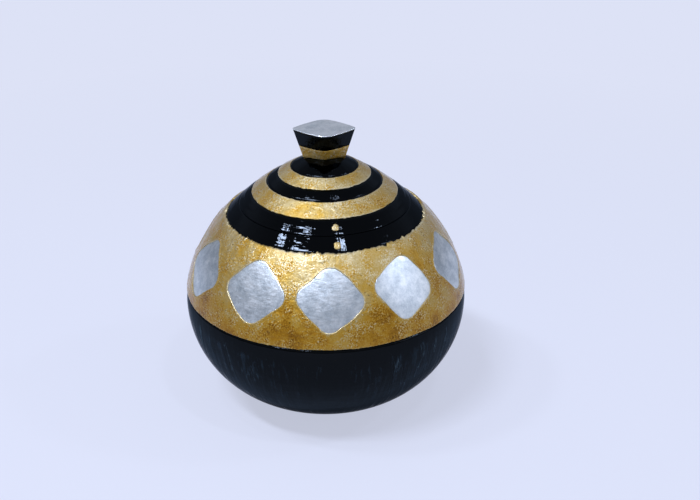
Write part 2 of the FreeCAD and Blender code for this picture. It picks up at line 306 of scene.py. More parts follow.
# A faint ridge in the lacquer, halfway from the seam to the wide ring: places along the roof, and its height there
ridge_height = 0.09 * MM
ridge_along = np.array([-0.9, -0.8, -0.6, -0.4, -0.2, 0.0, 0.15, 0.5, 1.0, 1.5, 1.9, 2.1]) * MM
ridge_lift = np.array([0, 0.02, 0.26, 0.5, 0.74, 0.97, 1.0, 0.9, 0.55, 0.2, 0.04, 0]) * ridge_height
ridge_angle = (seam_angle + ring_angles["wide"][0]) / 2 + ridge_along / roof_arc_radius
ridge = np.stack(outline(ridge_angle, ridge_lift), -1)
lid_section = np.vstack(
    [
        [[dowel_hole_radius, crown_height], [dowel_hole_radius, ceiling]],
        run(ceiling_angle, rebate_angle, offset=-wall),
        [[register_radius, rebate_top], register_foot],
        fillet(seam_edge, register_foot, np.array(outline(above_seam)), lid_edge_round),
        run(above_seam, ridge_angle[0])[:-1],
        ridge,
        outside(ridge_angle[-1], crown_angle, grooves)[1:],
    ]
)
print("bowl section", len(bowl_section), "rows, lid section", len(lid_section), "rows")

# %% Carry them round
around = round_the_axis(shell_columns)
closed_surface("lacquered_bowl", turned(*bowl_section.T[:, :, None], around), "pot", "black_lacquer", "bowl_shell")
closed_surface(
    "lacquered_lid", turned(*lid_section.T[:, :, None], around), "lid", "black_lacquer", "lid_shell", capped=False
)

# %% [markdown]
# ## The gilded belt and rings
# A band of lacquer putty fills each groove and stands a little proud. Leaf was laid on it by hand over a grainy
# ground, so the surface is full of small lumps and the edges wander over the lacquer in ragged tongues. A smooth
# ring with a bump in its material would keep a smooth rim, so the lumps are in the mesh. One formula makes all three
# bands: a height over the outline that rises from the ragged edges, plus three sizes of lumps.

# %% Diamonds: outline, distance and place on the belt
tile_count = 10
tile_gap = 6.9 * MM
tile_margin = 5.7 * MM
tile_corner_radius = 5.0 * MM
tile_edge_radius = 90.0 * MM
tile_crown_radius = 80.0 * MM
tile_thickness = 2.0 * MM
tile_sink = 0.3 * MM
belt_proud = 0.7 * MM
belt_middle = (belt_low + belt_high) / 2
belt_span = math.dist(outline(belt_low), outline(belt_high))
tile_half_width = math.pi * outline(belt_middle)[0] / tile_count - tile_gap / 2
tile_half_height = belt_span / 2 - tile_margin
tile_floor = belt_proud - tile_sink - tile_thickness
# Degrees: where the first plate stands from the front, and how far each one strays from its tenth of the way
# round, lies above the belt's middle line, and leans
first_tile = 1.5
tile_wander = [0.5, -1.3, -1.5, -0.8, -0.2, 0.5, 1.2, 1.8, 2.5, 2.3]
tile_rise = [0.9, 1.2, 0.1, 1.4, 0.5, 1.2, 1.5, 0.4, -0.7, 0.9]
tile_lean = [-4.5, -17.0, -13.0, 4.0, -6.0, 5.0, -5.0, 7.0, 0.0, 1.0]


class Diamond:
    """A diamond of four bowed edges that run smoothly into four round corners.

    Seen from the angle of its outward normal it is a row of arcs: a side corner, an edge and an end corner in each
    quarter. An edge's centre is where two circles cross, of radius (edge - side corner) round the side corner's
    centre and (edge - end corner) round the end corner's.
    """

    def __init__(self, half_width, half_height, side_corner, end_corner, edge_radius, ripples=()):
        """Work out the centres and radii of one quarter's arcs, and the normal angles where they meet."""
        self.ripples = ripples
        side, end = half_width - side_corner, half_height - end_corner
        to_side, to_end = edge_radius - side_corner, edge_radius - end_corner
        span = math.hypot(side, end)
        along = (to_side**2 - to_end**2 + span**2) / (2 * span)
        away = math.sqrt(to_side**2 - along**2)
        edge_x = side - (side * along + end * away) / span
        edge_y = (end * along - side * away) / span
        self.centres = np.array([[side, 0.0], [edge_x, edge_y], [0.0, end]])
        self.radii = np.array([side_corner, edge_radius, end_corner])
        self.breaks = np.array([math.atan2(-edge_y, side - edge_x), math.atan2(end - edge_y, -edge_x)])

    def at(self, normal, grown=0.0):
        """Points of the outline, grown by an amount, where its outward normal has these angles."""
        out, up = np.cos(normal), np.sin(normal)
        arc = np.searchsorted(self.breaks, np.arctan2(np.abs(up), np.abs(out)))
        reach = self.radii[arc] + grown
        centre = self.centres[arc]
        x = np.sign(out) * centre[..., 0] + reach * out
        y = np.sign(up) * centre[..., 1] + reach * up
        stretch = 1 + self.ripple(x, y) / np.hypot(x, y)
        return np.stack([x * stretch, y * stretch], -1)

    def ripple(self, x, y):
        """How far the hand-cut outline strays outwards: a sum of waves round the centre, (count, amount, phase)."""
        turn = np.arctan2(y, x)
        return sum((amount * np.cos(count * turn + phase) for count, amount, phase in self.ripples), 0 * turn)

    def normals(self, count):
        """Normal angles of points spaced evenly along the outline, from the lowest point round."""
        dense = np.linspace(-math.pi / 2, 1.5 * math.pi, 20001)
        length = np.concatenate([[0], np.cumsum(np.hypot(*np.diff(self.at(dense), axis=0).T))])
        return np.interp(np.linspace(0, length[-1], count, endpoint=False), length, dense)

    def distance(self, x, y):
        """Distance of points from the outline, below zero inside, and the outward direction there."""
        edge = self.centres[1]
        arc = np.searchsorted(self.breaks, np.arctan2(np.abs(y) - edge[1], np.abs(x) - edge[0]))
        arm_x, arm_y = np.abs(x) - self.centres[arc, 0], np.abs(y) - self.centres[arc, 1]
        reach = np.hypot(arm_x, arm_y)
        strayed = reach - self.radii[arc] - self.ripple(x, y)
        return strayed, np.sign(x) * arm_x / reach, np.sign(y) * arm_y / reach


def seat(normal_angle, azimuth, lean=0.0):
    """Origin and axes (right, up, out) of a flat shape that stands on the outline, as rows of a 4 by 3 array."""
    radius, height = outline(normal_angle)
    out = np.array([0, -math.cos(normal_angle), math.sin(normal_angle)])
    up = np.array([0, math.sin(normal_angle), math.cos(normal_angle)])
    right = np.array([1.0, 0, 0])
    leaned = [
        right * math.cos(lean) + up * math.sin(lean),
        up * math.cos(lean) - right * math.sin(lean),
        out,
    ]
    cos, sin = math.cos(azimuth), math.sin(azimuth)
    spin = np.array([[cos, sin, 0], [-sin, cos, 0], [0, 0, 1]])
    return np.array([[0, -radius, height], *leaned]) @ spin


def cut_by_hand(seed):
    """Six small waves of random size and phase, which make each diamond's outline its own."""
    rng = np.random.default_rng(seed)
    return [(count, rng.uniform(-0.13, 0.13) * MM, rng.uniform(0, 2 * math.pi)) for count in range(2, 8)]


tile_sizes = tile_half_width, tile_half_height, tile_corner_radius, tile_corner_radius, tile_edge_radius
tile_shapes = [Diamond(*tile_sizes, cut_by_hand(70 + index)) for index in range(tile_count)]
tile_seats = [
    seat(
        belt_middle + math.radians(tile_rise[index]),
        math.radians(first_tile + 360 / tile_count * index + tile_wander[index]),
        math.radians(tile_lean[index]),
    )
    for index in range(tile_count)
]
first_box = np.array(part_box("inlay_diamond_01")) / MM
print("tile half sizes %.2f x %.2f mm" % (tile_half_width / MM, tile_half_height / MM))
print("first tile seat", (tile_seats[0][0] / MM).round(2), "in box", *first_box.round(1))

# %% Ragged edges
def tongues(turn, girth, reach, seed):
    """How far an edge strays over the lacquer: reach * (0.4 + long waves + fine ones that grow in bursts)."""

    def wave(size, number):
        """Noise round the band with lumps of a size."""
        return lumps(turn, 0.0, int(girth / size), 1, seed + number)

    fine = 0.6 * wave(1.9 * MM, 1) + 0.6 * wave(0.8 * MM, 7)
    bursts = np.clip(wave(5 * MM, 2), 0, 1)
    return reach * np.clip(0.4 + 0.25 * wave(9 * MM, 0) + (0.2 + 0.7 * bursts) * fine, 0.04, 1)


# %% Pockets for the diamonds
tile_play = 0.03 * MM
lip_width = 0.5 * MM
pale_rim_width = 0.35 * MM


def bed_diamonds(angle, azimuth, proud, spacing, this_side, seats):
    """Fit a band's grid to the diamonds: points within a spacing of an outline move on to it.

    Given back are the grid's new angles and azimuths, which points lie inside a diamond, where those lie on the
    pockets' floors, and how near each point is, as exp(-(distance / width)^2), for the putty's lip and for the pale
    rim round each pocket, which is partly rubbed wear and partly a painted highlight.
    """
    inside = np.zeros(angle.shape, bool)
    floors = np.zeros((*angle.shape, 3))
    lip, wear_and_highlight = np.zeros(angle.shape), np.zeros(angle.shape)
    for place, shape in zip(seats, tile_shapes):
        points = turned(*outline(angle, proud), azimuth)
        x, y, z = np.moveaxis((points - place[0]) @ place[1:].T, -1, 0)
        distance, out_x, out_y = shape.distance(x, y)
        close = (np.abs(distance) < spacing) & (np.abs(z) < this_side)
        step = (tile_play - distance)[..., None] * (out_x[..., None] * place[1] + out_y[..., None] * place[2])
        moved = points + step
        azimuth = np.where(close, np.unwrap(np.arctan2(moved[..., 0], -moved[..., 1])) % (2 * math.pi), azimuth)
        angle = np.where(close, angle_at_height(moved[..., 2], proud), angle)
        within = (distance <= -spacing) & (np.abs(z) < this_side)
        inside |= within
        floors = np.where(within[..., None], points + place[3] * (tile_floor - z)[..., None], floors)
        beyond = np.where(np.abs(z) < this_side, np.clip(distance, 0, None), 1)
        lip = np.maximum(lip, np.exp(-((beyond / lip_width) ** 2)))
        # The pale rim round each pocket is partly rubbed wear and partly a painted highlight on the putty's lip
        wear_and_highlight = np.maximum(wear_and_highlight, np.exp(-((beyond / pale_rim_width) ** 2)))
    return angle, azimuth, inside, floors, lip, wear_and_highlight


# %% The bands
# Nothing may stand out past the belly, which sets the pot's girth
widest = belly_radius - 0.01 * MM
lip_height = 0.2 * MM
edge_sink = 0.05 * MM


def gilded_band(name, node, body, low, high, depth, proud, edge, ragged, grain, columns, rows, seed, seats=()):
    """A closed band in the groove between two normal angles.

    Its face stands over the outline by proud * sqrt(1 - (1 - distance from the edge / edge)^2), plus the grain's
    lumps, each given as a size and a height. Its edges reach past the groove by up to the ragged widths. Where a
    diamond is seated, the nearest points move on to its outline and those inside drop to the pocket's floor.
    """
    azimuth = round_the_axis(columns)[None, :]
    turn = azimuth / (2 * math.pi)
    girth = 2 * math.pi * outline((low + high) / 2)[0]
    width = math.dist(outline(low), outline(high))

    # Rows run across the band and crowd together at its two round edges
    span = (high - low) / width
    first = low - tongues(turn, girth, ragged[0], seed) * span
    last = high + tongues(turn, girth, ragged[1], seed + 3) * span
    near = edge * (1 - np.cos(np.linspace(0, math.pi / 2, 7)[:-1]))
    share = np.concatenate([near / width, np.linspace(edge / width, 1 - edge / width, rows), 1 - near[::-1] / width])
    share = share[:, None]
    spacing = 0.5 * max(girth / columns, width / rows)
    angle, azimuth, inside, floors, lip, wear_and_highlight = bed_diamonds(
        first + (last - first) * share, azimuth + 0 * share, proud, spacing, girth / 12, seats
    )

    # The face rises from its sunk edges and carries the lumps, and the back lies on the groove's floor
    to_edge = np.minimum(share, 1 - share) * width
    swell = np.sqrt(1 - (1 - np.clip(to_edge / edge, 0, 1)) ** 2)
    turns, across = azimuth / (2 * math.pi), share + 0 * azimuth
    relief = sum(
        amount * lumps(turns, across, int(girth / size), max(1, int(width / size)), seed + 10 * number)
        for number, (size, amount) in enumerate(grain, 1)
    )
    offset = -edge_sink + (proud + edge_sink) * swell + relief * swell + lip * lip_height
    radius, height = outline(angle, offset)
    face = turned(np.minimum(radius, widest), height, azimuth)
    face = np.where(inside[..., None], floors, face)
    back = turned(*outline(np.linspace(high, low, 5)[:, None], -depth), azimuth[:1])
    piece = closed_surface(name, np.concatenate([face, back]), body, "gold_leaf", node, capped=False)

    # Handling has rubbed the band's own edges pale too, here and there, and that paleness is partly a painted
    # highlight where the edges catch the light
    worn = np.clip(lumps(turns, across, int(girth / (7 * MM)), 1, seed + 50) + 0.6, 0, 1)
    wear_and_highlight = np.maximum(wear_and_highlight, worn * np.exp(-((to_edge / pale_rim_width) ** 2)))
    mark_points(piece, "wear_and_highlight", wear_and_highlight, angle.shape)


coarse_grain = [(11 * MM, 0.16 * MM), (2.6 * MM, 0.035 * MM), (1.1 * MM, 0.02 * MM)]
fine_grain = [(9 * MM, 0.06 * MM), (2.4 * MM, 0.03 * MM), (1.0 * MM, 0.02 * MM)]
gilded_band(
    "gilded_putty_belt", "gilded_belt", "pot", belt_low, belt_high, belt_depth, belt_proud,
    edge=0.6 * MM, ragged=(0.35 * MM, 0.75 * MM), grain=coarse_grain, columns=900, rows=92, seed=11, seats=tile_seats,
)
ring_proud = 0.15 * MM
for seed, ring in enumerate(ring_angles, 5):
    gilded_band(
        "gilded_%s_ring" % ring, "lid_%s_ring" % ring, "lid", *ring_angles[ring], ring_depth, ring_proud,
        edge=0.3 * MM, ragged=(0.35 * MM, 0.35 * MM), grain=fine_grain, columns=600, rows=16, seed=100 * seed,
    )

# %% [markdown]
# ## The inlaid diamonds
# Each diamond is a slightly crowned plate, silvered on top and pressed into soft putty, so its face dips and swells
# a little and its rim is soft. Ten copies of one bevelled plate would look stamped, so each has its own outline and
# waves. It is worked out flat, from its floor up the side, over the rounded rim and in to the centre, and then laid
# on its own seat.

# %% Ten plates
rim_round = 0.3 * MM
rim_drop = 0.12 * MM
swell_size, swell_height = 9 * MM, 0.03 * MM
tile_columns, inner_rings = 168, 22
# How pale each plate's silver is, from -1 to 1: a tone of its own, plus painted shade on the far left and far
# right plates and a painted highlight on the one right of the front
plate_tones_and_shade = [0.0, 0.15, -0.25, 0.1, -0.1, 0.15, -0.2, 0.05, -0.4, 0.0]


def pressed_face(seed):
    """A function that gives the height of one plate's face, with four shallow waves of its own pressed in by hand."""
    rng = np.random.default_rng(seed)
    swells = rng.uniform(0.5, 1.5, (4, 2)) / swell_size * rng.choice([-1, 1], (4, 2))
    phases = rng.uniform(0, 2 * math.pi, 4)

    def face(x, y):
        """Floor plus thickness, less the crown's fall of r^2 / (2 * crown radius), plus the sum of the waves."""
        waves = sum(np.sin(2 * x * a + 2 * y * b + p) for (a, b), p in zip(swells, phases))
        return tile_floor + tile_thickness - (x**2 + y**2) / (2 * tile_crown_radius) + swell_height * waves

    return face


def plate_rows(shape, face):
    """A flat plate as rows of (x, y, z): side wall, a quarter-ellipse rim, then rings shrinking to the centre."""
    normal = shape.normals(tile_columns)
    bend = np.linspace(0, math.pi / 2, 6)
    drops = rim_drop * (1 - np.sin(bend))
    rings = [shape.at(normal)] + [shape.at(normal, -inset) for inset in rim_round * (1 - np.cos(bend))]
    shrink = np.linspace(1, 0.02, inner_rings)[1:]
    rings += [rings[-1] * scale for scale in shrink]
    flat = np.array(rings)
    z = face(flat[..., 0], flat[..., 1]) - np.concatenate([drops[:1], drops, 0 * shrink])[:, None]
    z[0] = tile_floor
    return np.concatenate([flat, z[..., None]], -1)


for index, place in enumerate(tile_seats):
    points = place[0] + plate_rows(tile_shapes[index], pressed_face(40 + index)) @ place[1:]
    number = "%02d" % (index + 1)
    plate = closed_surface("silvered_diamond_" + number, points, "pot", "silver_leaf", "inlay_diamond_" + number)
    # Each plate's tone: its own, plus painted shade on the far left and right plates and a painted highlight right of
    # the front
    mark_points(plate, "tone", plate_tones_and_shade[index], (len(plate.data.vertices), 1))

# %% [markdown]
# ## The knob and the two marks
# The knob is carved from wood as a flared diamond. Its foot is gilded, its sides are lacquered black and its top is
# silvered. A cone with four sides would have hard corners, so it is a stack of level rings, each a bowed diamond. It
# is pinned on the crown of the lid, so the lowest row of each piece follows the roof under it. The two gilded dots
# beside the seam are small beads of putty.

# %% Knob
knob_height = 13.2 * MM
knob_foot_half = np.array([8.55, 5.1]) * MM
knob_top_half = np.array([12.8, 10.0]) * MM
knob_side_share, knob_front_share, knob_edge_share = 0.1, 0.42, 3.5
knob_band_height = 5.8 * MM
knob_band_thickness = 0.4 * MM
knob_plate_thickness = 0.5 * MM
knob_foot = outline(angle_at_radius(knob_foot_half[0]))[1]
knob_top = knob_foot + knob_height
knob_columns = 240


def knob_ring(height, inset=0.0):
    """One level outline of the knob: its half sizes grow evenly with height, and its corners with its width."""
    share = (height - knob_foot) / knob_height
    width, depth = knob_foot_half + (knob_top_half - knob_foot_half) * share
    shape = Diamond(width, depth, width * knob_side_share, width * knob_front_share, width * knob_edge_share)
    flat = shape.at(shape.normals(knob_columns), 0) * (1 - inset / width)
    return np.concatenate([flat, np.full((knob_columns, 1), height)], -1)


def roof_height(x, y):
    """Height of the lid's outside over a point of the plan, level inside the crown's small flat."""
    radius = np.maximum(np.hypot(x, y), crown_radius)
    return outline(angle_at_radius(radius))[1]


def on_roof(ring, sunk=0.05 * MM):
    """A ring dropped to the roof, sunk by a hair so that no gap shows."""
    ring = ring.copy()
    ring[:, 2] = roof_height(ring[:, 0], ring[:, 1]) - sunk
    return ring


band_top = knob_foot + knob_band_height
plate_bottom = knob_top - knob_plate_thickness
body_bevel_in, body_bevel_up = 0.1 * MM, 0.25 * MM
body_rows = [on_roof(knob_ring(knob_foot, knob_band_thickness)), knob_ring(band_top, knob_band_thickness)]
body_rows += [knob_ring(band_top, body_bevel_in)]
body_rows += [knob_ring(level) for level in np.linspace(band_top + body_bevel_up, plate_bottom, 12)]
closed_surface("knob_lacquered_body", np.array(body_rows), "lid", "black_lacquer", "knob_body")

# %% Knob's gilded foot and silvered top
# The foot's rows go up its outside from the roof, over its bevel and down its inside. The three lowest levels are
# left out, because the roof already stands above them at the knob's front and back.
band_bevel_in, band_bevel_down = 0.12 * MM, 0.15 * MM
band_rows = [on_roof(knob_ring(knob_foot))]
band_rows += [knob_ring(level) for level in np.linspace(knob_foot, band_top - band_bevel_down, 14)[3:]]
band_rows += [knob_ring(band_top, band_bevel_in), knob_ring(band_top, knob_band_thickness)]
band_rows += [on_roof(knob_ring(knob_foot, knob_band_thickness))]
band_points = np.array(band_rows)
# One drop of putty stands out on the left of the front
drop_place = np.array([-3.9 * MM, -6.2 * MM, knob_foot + 3.3 * MM])
drop_width, drop_height = 0.8 * MM, 0.35 * MM
band_points[..., 1] -= drop_height * np.exp(-(((band_points - drop_place) / drop_width) ** 2).sum(-1))
gilded_foot = closed_surface("knob_gilded_foot", band_points, "lid", "gold_leaf", "knob_gilded_band", capped=False)
mark_points(gilded_foot, "wear_and_highlight", -0.4, band_points.shape[:2])

plate_round = 0.3 * MM
top_rows = [knob_ring(plate_bottom), knob_ring(knob_top - plate_round)]
for bend in np.linspace(0, math.pi / 2, 6)[1:]:
    ring = knob_ring(knob_top, plate_round * (1 - math.cos(bend)))
    ring[:, 2] = knob_top - plate_round * (1 - math.sin(bend))
    top_rows.append(ring)
top_rows += [top_rows[-1] * [scale, scale, 1] for scale in np.linspace(1, 0.03, 14)[1:]]
silvered_top = closed_surface("knob_silvered_top", np.array(top_rows), "lid", "silver_leaf", "knob_top_plate")
mark_points(silvered_top, "tone", 0.5, (len(silvered_top.data.vertices), 1))

# %% Marks
mark_radius = 1.6 * MM
mark_depth = 1.2 * MM
mark_height = 0.25 * MM
mark_azimuth = math.radians(7.0)


def bead(name, low, high, body, node, seed):
    """A small domed bead between two normal angles: height * (1 - r^4), with a slightly uneven rim."""
    turn = np.linspace(0, 1, 48, endpoint=False)
    share = np.concatenate([[1, 1], np.linspace(1, 0.05, 9)[1:]])[:, None]
    reach = mark_radius * share * (0.86 + 0.2 * lumps(turn, 0.0, 8, 1, seed))
    height = mark_height * (1 - share**4) + 0 * reach
    height[0] = -mark_depth
    flat = np.stack([reach * np.cos(2 * math.pi * turn), reach * np.sin(2 * math.pi * turn), height], -1)
    place = seat((low + high) / 2, mark_azimuth)
    dot = closed_surface(name, place[0] + flat @ place[1:], body, "gold_leaf", node)
    mark_points(dot, "wear_and_highlight", 0.3, flat.shape[:2])


bead("gilded_bowl_dot", belt_high, seam_angle, "pot", "bowl_mark", 61)
bead("gilded_lid_dot", seam_angle, ring_angles["wide"][0], "lid", "lid_mark", 62)

# %% [markdown]
# ## Finishes
# Four finishes cover the pot: polished lacquer, gold leaf, silver leaf and bare wood. Pictures wrapped round the
# pieces would need seams, and would blur up close. Instead, nodes work each finish out from the place on the object.
# It starts from how the real one is made, and its patterns have their sizes in millimetres.

# %% Colours and nodes
MATH, VECTOR, SPLIT = "ShaderNodeMath", "ShaderNodeVectorMath", "ShaderNodeSeparateXYZ"
NOISE, LEVELS, RAMP = "ShaderNodeTexNoise", "ShaderNodeMapRange", "ShaderNodeValToRGB"
BUMP, SURFACE, OUTPUT = "ShaderNodeBump", "ShaderNodeBsdfPrincipled", "ShaderNodeOutputMaterial"
finishes = {}


def linear(code):
    """A hex colour as linear red, green, blue and alpha: ((c + 0.055) / 1.055)^2.4 above the dark end."""
    channels = np.array([int(code[i : i + 2], 16) for i in (1, 3, 5)]) / 255
    curve = np.where(channels <= 0.04045, channels / 12.92, ((channels + 0.055) / 1.055) ** 2.4)
    return (*curve.tolist(), 1.0)


def add(tree, kind, inputs=(), out=0, stops=(), **settings):
    """Add a node with its settings and links, and give back one of its outputs.

    Inputs come in the node's own order, or by name. One that is another node's output is linked, and any other is
    set as a value. Stops of position and hex colour fill a colour ramp, which starts with two.
    """
    node = tree.nodes.new(kind)
    for name, value in settings.items():
        setattr(node, name, value)
    for key, value in inputs.items() if isinstance(inputs, dict) else enumerate(inputs):
        if isinstance(value, bpy.types.NodeSocket):
            tree.links.new(value, node.inputs[key])
        else:
            node.inputs[key].default_value = value
    for _ in stops[2:]:
        node.color_ramp.elements.new(0.5)
    for element, (position, code) in zip(node.color_ramp.elements if stops else (), stops):
        element.position = position
        element.color = linear(code)
    return node.outputs[out] if node.outputs else node


def material(name):
    """A new material, its empty node tree, and the place on the object as its pattern's coordinates."""
    finish = bpy.data.materials.new(name)
    finish.use_nodes = True
    finish.node_tree.nodes.clear()
    return finish, finish.node_tree, add(finish.node_tree, "ShaderNodeTexCoord", out="Object")


def keep(slot, finish):
    """Keep a finish for the pieces of a slot, and print how many nodes it took."""
    finishes[slot] = finish
    print("%-14s %3d nodes" % (slot, len(finish.node_tree.nodes)))


# %% [markdown]
# ### Black lacquer
# The real finish is many thin coats, each dried and rubbed down, and the last one polished. The black lies deep, and
# what the eye sees is gloss. The brush went round the pot, so the windows in it break into level streaks. On the bowl
# the shell's own fibres show from the base up, with grey threads and veins that are partly the fibres and partly a
# painted sheen, painted strongest on its left and right, where a glossy bowl catches grazing reflections seen from
# the front. A plain glossy black would look like plastic and turn grey at the edges. So the gloss lies under a thin
# tinted coat, which swallows light that comes in low and keeps the pot black there.

# %% Lacquer
def black_lacquer():
    """Gloss over black, with level brush waves, upright fibres, and threads and veins low on the bowl's sides, which
    are partly fibre marks and partly a painted sheen.

    The upright patterns live on the direction from the axis plus three times the height in metres, so a size is its
    width at the belly over the belly's radius, and what is 1 mm wide is 5.6 mm long. The level ones live on 9 mm
    times that direction plus the height, so what is 1 mm high is 6.7 mm long at the belly.
    """
    finish, tree, place = material("black_lacquer_polished")
    girth_radius = 60 * MM
    # Real fibres are about 0.3 mm wide. They are drawn as wide as the strands that they lie in, or they wouldn't show.
    fibre_width, thread_width, vein_width = 3.6 * MM, 1.8 * MM, 13.2 * MM
    wave_size, wave_depth, fibre_depth = 2 * MM, 0.13 * MM, 0.7 * MM
    # Heights where the fibres' relief and the marks start to fade, and where both have, just over the belt's low edge
    relief_fades, marks_fade, faded = 36 * MM, 46 * MM, 56 * MM
    # Painted sheen: the grey marks grow between these distances to the left and right of the middle, where a glossy
    # bowl seen from the front would catch grazing reflections
    side_sheen_from, side_sheen_to = 12 * MM, 52 * MM
    flat = add(tree, VECTOR, (place, (1, 1, 0)), operation="MULTIPLY")
    facing = add(tree, VECTOR, (flat,), operation="NORMALIZE")
    upright = add(tree, VECTOR, (place, (0, 0, 3)), operation="MULTIPLY")
    along = add(tree, VECTOR, (facing, upright), operation="ADD")
    height = add(tree, SPLIT, (place,), out="Z")

    # Fibres stand out on the bowl and leave only a trace on the shoulder, under the brush waves.
    across = add(tree, VECTOR, (facing, (9 * MM, 9 * MM, 0)), operation="MULTIPLY")
    raised = add(tree, VECTOR, (place, (0, 0, 1)), operation="MULTIPLY")
    level = add(tree, VECTOR, (across, raised), operation="ADD")
    waves = add(tree, NOISE, {"Vector": level, "Scale": 1 / wave_size, "Detail": 2.5, "Roughness": 0.55})
    scale = girth_radius / fibre_width
    fibres = add(tree, NOISE, {"Vector": along, "Scale": scale, "Detail": 3.0, "Roughness": 0.55})
    shown = add(tree, LEVELS, (height, relief_fades, faded, 1.0, 0.1))
    fibres = add(tree, MATH, (fibres, shown), operation="MULTIPLY")
    normal = add(tree, BUMP, {"Height": waves, "Distance": wave_depth})
    normal = add(tree, BUMP, {"Height": fibres, "Distance": fibre_depth, "Normal": normal})

    # Threads are the peaks of a fine pattern, and veins are where a coarse one crosses its middle value.
    # Painted sheen: the threads and veins are lifted towards the left and right of the middle
    aside = add(tree, SPLIT, (place,), out="X")
    aside = add(tree, MATH, (aside,), operation="ABSOLUTE")
    painted_side_sheen = add(tree, LEVELS, (aside, side_sheen_from, side_sheen_to, 0.1, 1.0))
    side_sheen_lift = add(tree, LEVELS, (painted_side_sheen, 0.0, 1.0, -0.12, 0.07))
    scale = girth_radius / thread_width
    threads = add(tree, NOISE, {"Vector": along, "Scale": scale, "Detail": 3.0, "Roughness": 0.6})
    threads = add(tree, MATH, (threads, side_sheen_lift), operation="ADD")
    scale = girth_radius / vein_width
    veins = add(tree, NOISE, {"Vector": along, "Scale": scale, "Detail": 5.0, "Roughness": 0.55})
    veins = add(tree, MATH, (veins, 0.5), operation="SUBTRACT")
    veins = add(tree, MATH, (veins,), operation="ABSOLUTE")
    veins = add(tree, LEVELS, (veins, 0.0, 0.008, 0.5, 0.0))
    marks = add(tree, MATH, (veins, painted_side_sheen, threads), operation="MULTIPLY_ADD")
    below_belt = add(tree, LEVELS, (height, marks_fade, faded, 1.0, 0.0))
    marks = add(tree, MATH, (marks, below_belt), operation="MULTIPLY")
    colour = add(tree, RAMP, (marks,), stops=((0.5, "#000000"), (0.66, "#242f36"), (1.0, "#727f7d")))
    shader = add(
        tree,
        SURFACE,
        {
            "Base Color": colour,
            "Roughness": add(tree, LEVELS, (marks, 0.5, 0.8, 0.025, 0.25)),
            "Normal": normal,
            "IOR": 1.3,
            "Coat Weight": 1.0,
            "Coat Roughness": 0.03,
            "Coat IOR": 1.02,
            "Coat Tint": linear("#b8c2ca"),
            "Coat Normal": normal,
        },
    )
    add(tree, OUTPUT, (shader,))
    return finish


keep("black_lacquer", black_lacquer())

# %% [markdown]
# ### Gold leaf
# The real finish is thin leaf over grainy putty, rubbed so that the high grains shine pale and the hollows stay ochre,
# under a clear coat. It is a metal, but a broken one: it glitters in clusters, with dull stretches between. A plain
# rough gold would look cast. Here one tone runs from hollow to peak, and grain, clusters, patches and wear add to it,
# with a painted highlight that makes it paler higher up and round the rims and edges.

